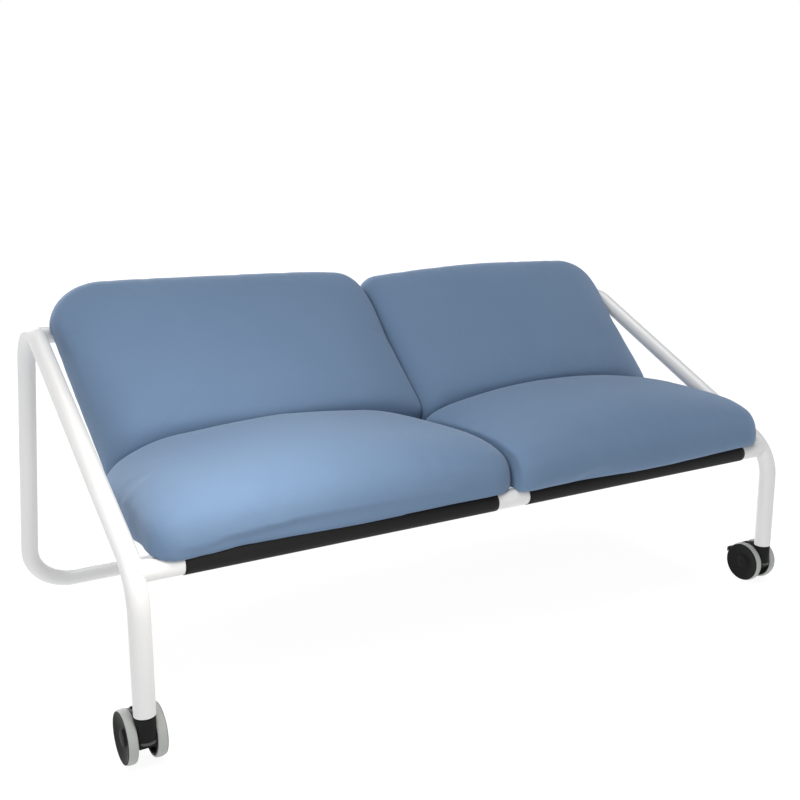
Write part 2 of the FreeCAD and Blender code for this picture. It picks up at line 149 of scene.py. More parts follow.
def normals(mesh: bpy.types.Mesh) -> Array:
    """The outward direction at every point of a mesh."""
    flat = np.empty(len(mesh.vertices) * 3)
    mesh.vertex_normals.foreach_get("vector", flat)
    return flat.reshape(-1, 3)


def averaged(mesh: bpy.types.Mesh, values: Array, times: int) -> Array:
    """Values at a mesh's points, each replaced by the mean of itself and its neighbours' mean.

    Args:
        mesh: the mesh whose edges say which points are neighbours.
        values: one row per point.
        times: how often.

    Returns:
        The smoothed values.
    """
    edges = np.empty(len(mesh.edges) * 2, dtype=np.int32)
    mesh.edges.foreach_get("vertices", edges)
    here, there = np.concatenate([edges.reshape(-1, 2), edges.reshape(-1, 2)[:, ::-1]]).T
    size = len(values)
    count = np.maximum(np.bincount(here, minlength=size), 1)[:, None]
    for _ in range(times):
        total = [np.bincount(here, weights=values[there, k], minlength=size) for k in range(values.shape[1])]
        values = (values + np.stack(total, axis=1) / count) / 2
    return values


def pressed(distance: Array, edge: float) -> Array:
    """A distance to a face that never goes below zero, (d + sqrt(d * d + 4 * e * e)) / 2."""
    return (distance + np.sqrt(distance ** 2 + 4 * edge ** 2)) / 2


def centre_of(node: str) -> Array:
    """The middle of the box round one of the frame's pieces."""
    low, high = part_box(node)
    return (np.array(low) + np.array(high)) / 2


def baked(piece: bpy.types.Object) -> bpy.types.Mesh:
    """The mesh that a piece's modifiers give now."""
    graph = bpy.context.evaluated_depsgraph_get()
    return bpy.data.meshes.new_from_object(piece.evaluated_get(graph))


def store_cloth_map(mesh: bpy.types.Mesh, flat: Array) -> None:
    """Keeps each point's place on the flat cloth, in metres, for the weave."""
    layer = mesh.attributes.new("cloth", "FLOAT_VECTOR", "POINT")
    values = np.zeros((len(mesh.vertices), 3))
    values[:, :2] = flat
    layer.data.foreach_set("vector", values.ravel())


def lathe(profile: Array, centre: Array, steps: int) -> tuple[Array, Array]:
    """A closed outline turned about a line along X.

    A point at (along, radius) goes to centre + along * X + radius * (cos a * Y + sin a * Z).

    Args:
        profile: rows of (along, radius).
        centre: a point on the line.
        steps: how many times the outline stands round the circle.

    Returns:
        The points and the faces.
    """
    angle = np.linspace(0, 2 * np.pi, steps, endpoint=False)[:, None]
    along, radius = profile[None, :, 0], profile[None, :, 1]
    points = np.stack([along + 0 * angle, radius * np.cos(angle), radius * np.sin(angle)], axis=-1)
    return points + centre, quads(steps, len(profile), True, True)


def rounded(corners: Array, radii: Array, steps: int = 6) -> Array:
    """A closed outline whose corners are round.

    Each corner becomes points of a quadratic arc between two places on its sides, one radius away.

    Args:
        corners: rows of two coordinates.
        radii: how far from its corner each arc starts.
        steps: points per corner.

    Returns:
        The points of the outline.
    """
    before = np.roll(corners, 1, axis=0) - corners
    after = np.roll(corners, -1, axis=0) - corners
    length_before = np.linalg.norm(before, axis=1)
    length_after = np.linalg.norm(after, axis=1)
    reach = np.minimum(radii, 0.49 * np.minimum(length_before, length_after))
    start = corners + before / length_before[:, None] * reach[:, None]
    end = corners + after / length_after[:, None] * reach[:, None]
    t = np.linspace(0, 1, steps)[None, :, None]
    arc = start[:, None] * (1 - t) ** 2 + corners[:, None] * 2 * t * (1 - t) + end[:, None] * t ** 2
    return arc.reshape(-1, 2)


def through(points: Array, count: int) -> Array:
    """A closed smooth curve through points, with even steps along its length.

    Each span is a cubic whose end slopes are half the chord between the neighbours.

    Args:
        points: rows of two coordinates, in order.
        count: how many points the curve gets.

    Returns:
        The points of the curve.
    """
    span = 24
    t = np.linspace(0, 1, span, endpoint=False)[None, :, None]
    here, onward = points[:, None], np.roll(points, -1, axis=0)[:, None]
    slope = (np.roll(points, -1, axis=0) - np.roll(points, 1, axis=0))[:, None] / 2
    onward_slope = np.roll(slope, -1, axis=0)
    chord = np.linalg.norm(onward - here, axis=-1, keepdims=True)
    slope = slope * np.minimum(1, chord / np.linalg.norm(slope, axis=-1, keepdims=True))
    onward_slope = onward_slope * np.minimum(1, chord / np.linalg.norm(onward_slope, axis=-1, keepdims=True))
    curve = (
        (2 * t ** 3 - 3 * t ** 2 + 1) * here
        + (t ** 3 - 2 * t ** 2 + t) * slope
        + (3 * t ** 2 - 2 * t ** 3) * onward
        + (t ** 3 - t ** 2) * onward_slope
    ).reshape(-1, 2)
    closed = np.vstack([curve, curve[:1]])
    length = np.concatenate([[0], np.cumsum(np.linalg.norm(np.diff(closed, axis=0), axis=1))])
    even = np.linspace(0, length[-1], count, endpoint=False)
    return np.stack([np.interp(even, length, closed[:, k]) for k in (0, 1)], axis=1)


def show(name: str, mesh: bpy.types.Mesh, finish: "Finish", body: str) -> bpy.types.Object:
    """Puts a mesh into the scene as a piece of the sofa.

    Args:
        name: the piece's name.
        mesh: its mesh, already in place.
        finish: what it is made of.
        body: the moving body that carries it.

    Returns:
        The new piece.
    """
    piece = bpy.data.objects.new(name, mesh)
    bpy.context.scene.collection.objects.link(piece)
    piece.data.materials.clear()
    piece.data.materials.append(finish.material())
    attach(piece, body)
    LOG.info("%s: %d points on %s", name, len(mesh.vertices), body)
    return piece


# Finishes


class NodeSheet:
    """A material's nodes, with one shader that the finish fills in."""

    def __init__(self, name: str) -> None:
        """Starts an empty material of that name."""
        self.material = bpy.data.materials.new(name)
        self.material.use_nodes = True
        self.tree = self.material.node_tree
        self.tree.nodes.clear()
        self.shader = self.tree.nodes.new("ShaderNodeBsdfPrincipled")
        output = self.tree.nodes.new("ShaderNodeOutputMaterial")
        self.tree.links.new(self.shader.outputs["BSDF"], output.inputs["Surface"])

    def add(self, kind: str, inputs: dict | None = None, **settings: object) -> bpy.types.Node:
        """A new node.

        Args:
            kind: the node's type without its prefix.
            inputs: values or linked sockets by input name or number.
            settings: the node's own properties.

        Returns:
            The node.
        """
        node = self.tree.nodes.new("ShaderNode" + kind)
        for key, value in settings.items():
            setattr(node, key, value)
        for key, value in (inputs or {}).items():
            self.set(node, key, value)
        return node

    def set(self, node: bpy.types.Node, key: str | int, value: object) -> None:
        """Links a socket to an input, or gives the input a value."""
        if isinstance(value, bpy.types.NodeSocket):
            self.tree.links.new(value, node.inputs[key])
        else:
            node.inputs[key].default_value = value

    def filled(self, values: dict) -> bpy.types.Material:
        """The material, once the shader's inputs are set to values or linked sockets by their names."""
        for key, value in values.items():
            self.set(self.shader, key, value)
        return self.material

    def math(self, operation: str, *values: object) -> bpy.types.NodeSocket:
        """The result of one sum on numbers or sockets."""
        return self.add("Math", dict(enumerate(values)), operation=operation).outputs[0]

    def place(self) -> bpy.types.NodeSocket:
        """Where a point is on the piece, in metres."""
        return self.add("TexCoord").outputs["Object"]

    def noise(self, vector: bpy.types.NodeSocket, scale: float, detail: float = 2.0) -> bpy.types.NodeSocket:
        """A cloudy value from 0 to 1 with about `scale` clouds per metre."""
        inputs = {"Vector": vector, "Scale": scale, "Detail": detail, "Roughness": 0.55}
        return self.add("TexNoise", inputs).outputs[0]

    def stretched(self, vector: bpy.types.NodeSocket, scale: tuple) -> bpy.types.NodeSocket:
        """A place with each axis scaled by itself."""
        return self.add("Mapping", {"Vector": vector, "Scale": scale}).outputs[0]

    def between(self, value: bpy.types.NodeSocket, low: float, high: float) -> bpy.types.NodeSocket:
        """A value from 0 to 1 carried over to low to high."""
        inputs = {"Value": value, "To Min": low, "To Max": high}
        return self.add("MapRange", inputs).outputs[0]

    def blend(self, share: bpy.types.NodeSocket, low: tuple, high: tuple) -> bpy.types.NodeSocket:
        """A colour between two colours."""
        node = self.add("Mix", {0: share}, data_type="RGBA")
        node.inputs[6].default_value = (*low, 1)
        node.inputs[7].default_value = (*high, 1)
        return node.outputs[2]

    def bump(self, height: bpy.types.NodeSocket, distance: float, strength: float = 1.0,
             under: bpy.types.NodeSocket | None = None) -> bpy.types.NodeSocket:
        """A surface that stands out by the height times the distance."""
        inputs = {"Height": height, "Distance": distance, "Strength": strength}
        if under is not None:
            inputs["Normal"] = under
        return self.add("Bump", inputs).outputs[0]


@dataclass(frozen=True)
class Finish:
    """A finish that makes its material once and hands it out again."""

    name: str

    def material(self) -> bpy.types.Material:
        """The finish as a material."""
        known = bpy.data.materials.get(self.name)
        return known if known else self.mixed()

    def mixed(self) -> bpy.types.Material:
        """Makes the material for the first time."""
        raise NotImplementedError


@dataclass(frozen=True)
class PowderCoat(Finish):
    """Baked paint: even colour, satin gloss, a very fine orange peel."""

    colour: tuple = (0.705, 0.705, 0.705)
    shade: tuple = (0.685, 0.685, 0.687)
    gloss: tuple = (0.33, 0.44)
    coat: float = 0.12
    clouds: float = 7.0
    gloss_clouds: float = 55.0
    peel: float = 620.0
    peel_height: float = 0.00005

    def mixed(self) -> bpy.types.Material:
        """Makes the material for the first time."""
        sheet = NodeSheet(self.name)
        place = sheet.place()
        return sheet.filled({
            "Base Color": sheet.blend(sheet.noise(place, self.clouds), self.shade, self.colour),
            "Roughness": sheet.between(sheet.noise(place, self.gloss_clouds), *self.gloss),
            "Normal": sheet.bump(sheet.noise(place, self.peel, 3.0), self.peel_height),
            "Coat Weight": self.coat,
            "Coat Roughness": 0.25,
        })


@dataclass(frozen=True)
class Cloth(Finish):
    """Woven cloth: two thread directions on the cloth's own flat places, flecks and soft creases."""

    dark: tuple = (0.0, 0.0, 0.0)
    light: tuple = (1.0, 1.0, 1.0)
    thread: float = 0.0009
    weave_height: float = 0.00012
    crease_height: float = 0.0
    roughness: tuple = (0.8, 0.95)
    sheen: float = 0.3
    sheen_tint: tuple = (1.0, 1.0, 1.0)
    shine: float = 0.25
    mapped: bool = True

    def mixed(self) -> bpy.types.Material:
        """Makes the material for the first time."""
        sheet = NodeSheet(self.name)
        place = sheet.place()
        flat = sheet.add("Attribute", attribute_name="cloth").outputs["Vector"] if self.mapped else place
        parts = sheet.add("SeparateXYZ", {0: flat}).outputs
        turns = math.pi / self.thread
        across, along = (sheet.math("SINE", sheet.math("MULTIPLY", part, turns)) for part in parts[:2])
        weave = sheet.between(sheet.math("MULTIPLY", across, along), 0.0, 0.5)
        weave = sheet.math("ADD", weave, 0.25)
        fleck = sheet.noise(sheet.stretched(flat, (60.0, 420.0, 60.0)), 3.0, 3.0)
        slub = sheet.noise(sheet.stretched(flat, (420.0, 60.0, 60.0)), 3.0, 3.0)
        share = sheet.math("MULTIPLY", weave, 0.3)
        for pattern, part in ((fleck, 0.3), (slub, 0.25), (sheet.noise(place, 6.0), 0.2)):
            share = sheet.math("ADD", share, sheet.math("MULTIPLY", pattern, part))
        surface = sheet.bump(weave, self.weave_height)
        if self.crease_height:
            crease = sheet.noise(sheet.stretched(place, (9.0, 34.0, 34.0)), 1.0, 3.0)
            surface = sheet.bump(crease, self.crease_height, 0.7, surface)
        return sheet.filled({
            "Base Color": sheet.blend(share, self.dark, self.light),
            "Roughness": sheet.between(fleck, *self.roughness),
            "Normal": surface,
            "Sheen Weight": self.sheen,
            "Sheen Roughness": 0.45,
            "Sheen Tint": (*self.sheen_tint, 1),
            "Specular IOR Level": self.shine,
        })


@dataclass(frozen=True)
class Moulded(Finish):
    """Moulded plastic or rubber: fine grain, uneven gloss, a little dust in the colour."""

    dark: tuple = (0.02, 0.02, 0.02)
    light: tuple = (0.04, 0.04, 0.04)
    gloss: tuple = (0.4, 0.55)
    dust: float = 70.0
    grain: float = 900.0
    grain_height: float = 0.00006
    shine: float = 0.4

    def mixed(self) -> bpy.types.Material:
        """Makes the material for the first time."""
        sheet = NodeSheet(self.name)
        place = sheet.place()
        dust = sheet.noise(place, self.dust, 4.0)
        return sheet.filled({
            "Base Color": sheet.blend(dust, self.dark, self.light),
            "Roughness": sheet.between(dust, *self.gloss),
            "Normal": sheet.bump(sheet.noise(place, self.grain), self.grain_height),
            "Specular IOR Level": self.shine,
        })


@dataclass(frozen=True)
class Plated(Finish):
    """Plated steel: metal with fine drawn lines along X."""

    dark: tuple = (0.42, 0.42, 0.41)
    light: tuple = (0.60, 0.60, 0.58)
    gloss: tuple = (0.25, 0.42)
    line_height: float = 0.00002

    def mixed(self) -> bpy.types.Material:
        """Makes the material for the first time."""
        sheet = NodeSheet(self.name)
        lines = sheet.noise(sheet.stretched(sheet.place(), (40.0, 900.0, 900.0)), 1.0)
        return sheet.filled({
            "Base Color": sheet.blend(lines, self.dark, self.light),
            "Roughness": sheet.between(lines, *self.gloss),
            "Normal": sheet.bump(lines, self.line_height),
            "Metallic": 1.0,
        })


@dataclass(frozen=True)
class Backdrop(Finish):
    """A pale studio floor, lit from below like a light table, with a very slight mottle."""

    colour: tuple = (0.15, 0.15, 0.15)
    shade: tuple = (0.14, 0.14, 0.14)
    glow: float = 0.9

    def mixed(self) -> bpy.types.Material:
        """Makes the material for the first time."""
        sheet = NodeSheet(self.name)
        cloud = sheet.noise(sheet.place(), 1.5)
        return sheet.filled({
            "Base Color": sheet.blend(cloud, self.shade, self.colour),
            "Roughness": 0.9,
            "Specular IOR Level": 0.1,
            "Emission Color": (1, 1, 1, 1),
            "Emission Strength": self.glow,
        })


# No finish has the name of a slot: the frame brings a plain material of that name.
WHITE_PAINT = PowderCoat("white_powder_coat")
CUSHION_CLOTH = Cloth(
    "blue_cushion_cloth", dark=(0.083, 0.142, 0.239), light=(0.160, 0.239, 0.360), thread=0.0008,
    crease_height=0.0006, sheen=0.25, sheen_tint=(0.75, 0.85, 1.0),
)
SLING_CLOTH = Cloth(
    "black_sling_cloth", dark=(0.003, 0.003, 0.003), light=(0.011, 0.011, 0.0115), thread=0.0007,
    weave_height=0.00018, roughness=(0.55, 0.75), sheen=0.02, shine=0.2,
)
GRIP_TAPE = Cloth(
    "black_grip_tape", dark=(0.01, 0.01, 0.01), light=(0.04, 0.04, 0.04), thread=0.001, mapped=False,
)
FOAM = Moulded("pale_foam", dark=(0.62, 0.60, 0.52), light=(0.75, 0.73, 0.66), gloss=(0.9, 1.0), grain=500.0)
BLACK_PLASTIC = Moulded(
    "black_moulding", dark=(0.011, 0.0114, 0.0112), light=(0.017, 0.0175, 0.0172), shine=0.05,
)
# The lip's plastic is several times lighter than the black moulding of its column: a painted highlight where
# the rounded lip catches the light.
LIP_HIGHLIGHT_PLASTIC = Moulded("worn_plastic", dark=(0.05, 0.053, 0.05), light=(0.08, 0.083, 0.08), shine=0.3)
PALE_PLASTIC = Moulded("pale_moulding", dark=(0.60, 0.60, 0.57), light=(0.68, 0.68, 0.65))
GREY_TREAD = Moulded(
    "grey_tread", dark=(0.335, 0.35, 0.335), light=(0.405, 0.42, 0.405), gloss=(0.55, 0.75), grain=500.0,
)
BLACK_THREAD = Moulded("black_thread", dark=(0.012, 0.012, 0.012), light=(0.05, 0.05, 0.05), gloss=(0.5, 0.7))
STEEL = Plated("plated_steel")


# The seat and back planes


@dataclass(frozen=True)
class Plane:
    """The seat or back half of a sling: s runs from the fold to the bar, t towards the sitter."""

    fold: tuple
    along: tuple
    out: tuple

    def at(self, x: Array, s: Array, t: Array) -> Array:
        """Points in the sofa's own axes."""
        y = self.fold[0] + self.along[0] * s + self.out[0] * t
        z = self.fold[1] + self.along[1] * s + self.out[1] * t
        return np.stack(np.broadcast_arrays(x, y, z), axis=-1)

    def measure(self, points: Array) -> tuple[Array, Array]:
        """The s and t of points in the sofa's own axes."""
        y, z = points[..., 1] - self.fold[0], points[..., 2] - self.fold[1]
        return y * self.along[0] + z * self.along[1], y * self.out[0] + z * self.out[1]


@dataclass
class SeatGeometry:
    """Where the crossbars are and how the slings run between them."""

    bar_radius: float = 16 * MM
    sleeve_radius: float = 17 * MM
    run: float = 345 * MM
    front: Array = field(init=False)
    top: Array = field(init=False)
    fold: Array = field(init=False)
    seat: Plane = field(init=False)
    back: Plane = field(init=False)
    straight: float = field(init=False)

    def __post_init__(self) -> None:
        """Reads the bars from the frame and works out the fold below them."""
        self.front = self.bar_centre("front_crossbar")
        self.top = self.bar_centre("top_crossbar")
        across = self.top - self.front
        length = float(np.linalg.norm(across))
        drop = math.sqrt(self.run ** 2 - (length / 2) ** 2)
        self.fold = (self.front + self.top) / 2 + np.array([across[1], -across[0]]) / length * drop
        tilt = math.asin(self.sleeve_radius / self.run)
        self.straight = self.run * math.cos(tilt)
        self.seat = self.plane(self.front, -1, tilt)
        self.back = self.plane(self.top, 1, tilt)

    @staticmethod
    def bar_centre(node: str) -> Array:
        """The Y and Z of a crossbar's centre line."""
        return centre_of(node)[1:]

    def plane(self, bar: Array, turn: int, tilt: float) -> Plane:
        """The plane from the fold that touches a bar's sleeve on the sitter's side."""
        toward = bar - self.fold
        angle = math.atan2(toward[1], toward[0]) + turn * tilt
        along = (math.cos(angle), math.sin(angle))
        return Plane(tuple(self.fold), along, (-along[1] * turn, along[0] * turn))

    def bisector(self) -> tuple[Array, Array]:
        """The line between both planes and its normal towards the back, in Y and Z."""
        line = np.array(self.seat.along) + np.array(self.back.along)
        line /= np.linalg.norm(line)
        return line, np.array([line[1], -line[0]])


# Cushions. Sections are (s, t) points in millimetres, from the fold along the sling and back over the top.

SEAT_MIDDLE = [
    (14, 5), (120, 0.6), (250, 0.6), (338, 0.6), (358, 3), (370, 16), (373, 36), (366, 60),
    (346, 86), (300, 112), (220, 131), (150, 140), (105, 141), (79, 134), (43, 72),
]
SEAT_END = [
    (14, 5), (120, 0.6), (250, 0.6), (330, 0.6), (350, 3), (361, 12), (365, 28), (360, 46),
    (344, 66), (300, 84), (220, 96), (150, 104), (100, 108), (63, 106), (37, 61),
]
BACK_MIDDLE = [
    (14, 5), (120, 0.6), (250, 0.6), (338, 0.6), (362, -5), (386, -12), (405, -3), (414, 22), (410, 50),
    (392, 76), (350, 98), (270, 114), (180, 129), (118, 137), (80, 132), (44, 74),
]
BACK_END = [
    (14, 5), (120, 0.6), (250, 0.6), (338, 0.6), (362, -5), (386, -10), (402, -1), (409, 20), (404, 42),
    (388, 60), (346, 74), (260, 84), (170, 94), (110, 101), (60, 100), (36, 60),
]
# The lines where the seats' lower fronts are tucked in: rows of (x, height above the sling, depth) in mm.
SEAT_LEFT_TUCKS = (
    ((-604, 10, 0), (-585, 9, 3), (-566, 8, 3.5), (-548, 8, 0)),
    (
        (-575, 6, 0), (-545, 12, 5), (-510, 17, 8), (-471, 19, 8.5), (-408, 23, 7.5), (-340, 22, 6),
        (-230, 20, 4.5), (-120, 18, 3), (-20, 16, 0),
    ),
)
SEAT_RIGHT_TUCKS = (
    ((96, 3, 0), (118, 7, 2), (138, 12, 4), (158, 17, 4.5), (190, 20, 3.5), (240, 19, 1.5), (300, 18, 0)),
)


@dataclass(frozen=True)
class CushionEnd:
    """One end of a cushion.

    x is its tip and limit the face it must not cross. The rounding starts at depth from the tip for
    the thickness and at corner for the length. It takes the top_share of the thickness near the bar
    and the low_share near the fold. The fullness and the nose shape the end's own section.
    """

    x: float
    limit: float
    depth: float
    corner: float
    top_share: float
    low_share: float
    fullness: float
    nose: float


@dataclass
class Cushion:
    """A loose cushion: a filled bag, fullest in its middle, round at both ends, flat on its sling."""

    name: str
    side: Side
    plane: Plane
    geometry: SeatGeometry
    middle: list
    end: list
    low: CushionEnd
    high: CushionEnd
    corner_share: float
    power: float
    fullness: float = 1.0
    nose: float = 0.0
    lip: float = 0.0
    taper: float = 0.0
    lean: float = 0.0
    rear_soft: float = 0.0
    under: float = 1.0
    fold_corner: float = 1.0
    rows: int = 161
    columns: int = 144
    dome_rows: int = 8
    bulge: float = 2.5 * MM
    core: tuple = (200 * MM, 22 * MM)
    voxel: float = 6 * MM
    start_inside: float = 7 * MM
    cap: float = 0.7 * MM
    even: int = 4
    calm: int = 24
    rest: float = 0.6 * MM
    tucks: tuple = ()
    tuck_soft: float = 5 * MM
    piece: bpy.types.Object = field(init=False)
    full: Array = field(init=False)
    before: Array = field(init=False)

    def outline(self, points: list, fullness: float, nose: float) -> Array:
        """A section's points after its fullness, nose and lip are set.

        Points above 20 mm scale with the fullness, the front 70 mm move forward by the nose, and
        the lowest of them hang down by the lip.
        """
        s, t = np.array(points, dtype=float).T
        t = np.where(t > 20, t * fullness, t)
        s = s + nose * np.clip((s - 300) / 70, 0, 1)
        t = t - self.lip * np.clip((s - 338) / 25, 0, 1) * np.clip((45 - t) / 30, 0, 1)
        return through(np.stack([s, t], axis=1) * MM, self.columns)

    def sections(self, u: Array) -> Array:
        """Sections before their ends are rounded, from the middle outline to an end's with |u| to a power."""
        middle = self.outline(self.middle, self.fullness, self.nose)
        low = self.outline(self.end, self.low.fullness, self.nose + self.low.nose)
        high = self.outline(self.end, self.high.fullness, self.nose + self.high.nose)
        share = np.abs(u)[:, None, None] ** self.power
        return middle * (1 - share) + np.where(u[:, None, None] < 0, low, high) * share

    def form(self) -> tuple[Array, Array]:
        """The cushion's surface, a grid of sections across u from -1 to 1.

        Towards an end a section is drawn in to its core by a quarter circle, 1 - sqrt(1 - q * q),
        further in its thickness than in its length, and less near the fold than near the bar. Below
        the core the under share makes it less again, and towards the fold the fold_corner share.
        Past that it closes in a low dome, bulge * (1 - r * r) squared, r being the share that is left.
        """
        u = np.sin(np.linspace(-np.pi / 2, np.pi / 2, self.rows))
        section = self.sections(u)
        half = (self.high.x - self.low.x) / 2 - self.bulge
        inside = (1 - np.abs(u)) * half
        is_low = u < 0

        def of_end(name: str) -> Array:
            """A value of the nearer end for every section."""
            return np.where(is_low, getattr(self.low, name), getattr(self.high, name))[:, None]

        s, t = section[..., 0], section[..., 1]
        depth = of_end("depth") * (1 + self.rear_soft * np.clip((0.25 - s) / 0.2, 0, 1))
        q = np.clip(1 - inside[:, None] / depth, 0, 1)
        flat = 1 - np.sqrt(1 - q ** 2)
        q = np.clip(1 - inside[:, None] / of_end("corner"), 0, 1)
        corner = self.corner_share * (1 - np.sqrt(1 - q ** 2))
        corner = corner * np.where(s < self.core[0], self.fold_corner, 1.0)
        low_share, top_share = of_end("low_share"), of_end("top_share")
        share = low_share + (top_share - low_share) * np.clip((s - 0.05) / 0.2, 0, 1)
        share = np.where(t < self.core[1], self.under * share, share)
        t = self.core[1] + (t - self.core[1]) * (1 - share * flat)
        s = self.core[0] + (s - self.core[0]) * (1 - corner)
        left = np.linspace(1, 0, self.dome_rows + 1)[1:, None]
        s, t = self.capped(s, left), self.capped(t, left)
        dome = self.bulge * (1 - left[:, 0] ** 2) ** 2
        across = np.concatenate([-half - dome[::-1], half * u, half + dome])[:, None]
        outer = np.clip(self.side.value * across / half, 0, 1) ** 3
        inner = np.clip(-self.side.value * across / half, 0, 1) ** 3
        x = (self.low.x + self.high.x) / 2 + across
        x = x + (self.lean * inner - self.side.value * self.taper * outer) * self.near_fold(s)
        return self.plane.at(x, s, t), quads(len(across), self.columns, wrap_columns=True)

    @staticmethod
    def capped(values: Array, left: Array) -> Array:
        """Rows of values with further rows at both ends that run to the middle of the end row."""
        low, high = (row + ((row.min() + row.max()) / 2 - row) * (1 - left) for row in values[[0, -1]])
        return np.concatenate([low[::-1], values, high])

    @staticmethod
    def near_fold(s: Array) -> Array:
        """A share that rises from 0 near the bar to 1 near the fold."""
        return np.clip((0.35 - s) / 0.29, 0, 1)

    def build(self) -> None:
        """Makes the closed bag, remeshed evenly on the form, and draws it in before it is filled."""
        points, faces = self.form()
        form = bpy.data.objects.new(f"{self.name}_form", mesh_of(self.name, points, faces))
        bpy.context.scene.collection.objects.link(form)
        remesh = form.modifiers.new("even", "REMESH")
        remesh.mode = "VOXEL"
        remesh.voxel_size = self.voxel
        mesh = baked(form)
        form.modifiers.clear()
        set_coordinates(mesh, averaged(mesh, coordinates(mesh), 4))
        self.piece = bpy.data.objects.new(self.name, mesh)
        bpy.context.scene.collection.objects.link(self.piece)
        self.piece.modifiers.new("snug", "SHRINKWRAP").target = form
        self.full = averaged(mesh, coordinates(baked(self.piece)), 1)
        self.piece.modifiers.clear()
        bpy.data.objects.remove(form)
        set_coordinates(mesh, self.full)
        self.before = self.full - normals(mesh) * self.start_inside
        set_coordinates(mesh, self.before)

    def add_cloth(self) -> None:
        """Gives the bag a cloth with air pressure inside and no weight."""
        cloth = self.piece.modifiers.new("filled", "CLOTH")
        cloth.settings.use_pressure = True
        cloth.settings.uniform_pressure_force = 4.0
        cloth.settings.effector_weights.gravity = 0.0
        cloth.settings.quality = 5
        cloth.point_cache.frame_start = 1
        cloth.point_cache.frame_end = 20

    def settle(self) -> None:
        """Keeps the dents and folds of the filled bag on the full form, up to the cap.

        What the filling moved is first evened out a little, then split into a slow part, averaged over
        the neighbours many times, and the rest. The slow part is the growth to the full form, and the
        rest is the folds.
        """
        folds = np.zeros_like(self.full)
        if self.piece.modifiers:
            moved = coordinates(baked(self.piece)) - self.before
            moved = averaged(self.piece.data, moved, self.even)
            folds = moved - averaged(self.piece.data, moved, self.calm)
            far = np.linalg.norm(folds, axis=1, keepdims=True)
            folds *= self.cap / (self.cap + far)
        self.piece.modifiers.clear()
        set_coordinates(self.piece.data, self.kept_clear(self.tucked(self.full + folds)))

    def tucked(self, points: Array) -> Array:
        """Draws the lower front in below each tuck's line, where the cloth hangs over the bar.

        At a drop d below the line a point goes back by deep * smooth(d / soft), smooth(v) being
        3 * v * v - 2 * v * v * v.
        """

        def smooth(value: Array) -> Array:
            """A rise from 0 to 1 with level ends."""
            value = np.clip(value, 0, 1)
            return value ** 2 * (3 - 2 * value)

        s, t = self.plane.measure(points)
        front = smooth((s - 330 * MM) / (20 * MM))
        for tuck in self.tucks:
            x, height, deep = np.array(tuck, dtype=float).T * MM
            line = np.interp(points[:, 0], x, height)
            deep = np.interp(points[:, 0], x, deep)
            s = s - front * deep * smooth((line - t) / self.tuck_soft)
        return self.plane.at(points[:, 0], s, t)

    def kept_clear(self, points: Array) -> Array:
        """Presses points against the sling, the bar, the other cushions and the side tube.

        A distance d to a face becomes (d + sqrt(d * d + 4 * e * e)) / 2, which stays above zero and
        leaves what is further than a few e from the face as it is. Inside the sleeve's circle a
        point goes out along its radius.
        """
        s, t = self.plane.measure(points)
        under = s < self.geometry.straight
        t = np.where(under, self.rest + pressed(t - self.rest, 0.5 * MM), t)
        axis_s, axis_t = self.geometry.straight, -self.geometry.sleeve_radius
        reach = self.geometry.sleeve_radius + self.rest
        away = np.hypot(s - axis_s, t - axis_t)
        grow = np.where(under, 1.0, (reach + pressed(away - reach, 0.5 * MM)) / np.maximum(away, 1e-9))
        s, t = axis_s + (s - axis_s) * grow, axis_t + (t - axis_t) * grow
        lean = self.lean * self.near_fold(s)
        low = self.low.limit + (lean if self.side is Side.RIGHT else 0)
        high = self.high.limit + (lean if self.side is Side.LEFT else 0)
        x = low + pressed(points[:, 0] - low, 2 * MM)
        x = high - pressed(high - x, 2 * MM)
        points = self.plane.at(x, s, t)
        normal = self.geometry.bisector()[1] * (1.0 if self.plane is self.geometry.back else -1.0)
        beyond = (points[:, 1:] - self.geometry.fold) @ normal
        points[:, 1:] += np.outer(pressed(beyond, 1 * MM) - beyond, normal)
        return points

    def cloth_map(self, points: Array) -> Array:
        """Each point's place on the flat cloth.

        The first number is X, carried on over a round end by as much as the section is drawn in.
        The second is the way round the middle section to the point's direction from the core.
        """
        s, t = self.plane.measure(points)
        middle = self.sections(np.zeros(1))[0]
        angle = np.arctan2(t - self.core[1], s - self.core[0])
        turn = np.arctan2(middle[:, 1] - self.core[1], middle[:, 0] - self.core[0])
        order = np.argsort(turn)
        step = np.linalg.norm(np.diff(middle[order], axis=0), axis=1)
        way = np.interp(angle, turn[order], np.concatenate([[0], np.cumsum(step)]))
        u = (points[:, 0] - (self.low.x + self.high.x) / 2) / ((self.high.x - self.low.x) / 2)
        reach = np.interp(angle, turn[order], np.linalg.norm(middle[order] - self.core, axis=1))
        drawn = np.maximum(reach - np.hypot(s - self.core[0], t - self.core[1]), 0) * np.abs(u) ** 6
        return np.stack([points[:, 0] + np.sign(u) * drawn, way], axis=1)

    def dress(self) -> None:
        """Subdivides the filled bag and gives it its cloth."""
        divide = self.piece.modifiers.new("smooth", "SUBSURF")
        divide.levels = divide.render_levels = 1
        mesh = baked(self.piece)
        self.piece.modifiers.clear()
        self.piece.data = mesh
        store_cloth_map(mesh, self.cloth_map(coordinates(mesh)))
        mesh.materials.clear()
        mesh.materials.append(CUSHION_CLOTH.material())
        shade_smooth(mesh)
        kind = self.name.split("_")[0]
        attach(self.piece, "frame")
        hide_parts(f"{kind}_cover_{self.side.word}", f"{kind}_foam_{self.side.word}")
        LOG.info("%s: %d points", self.name, len(mesh.vertices))


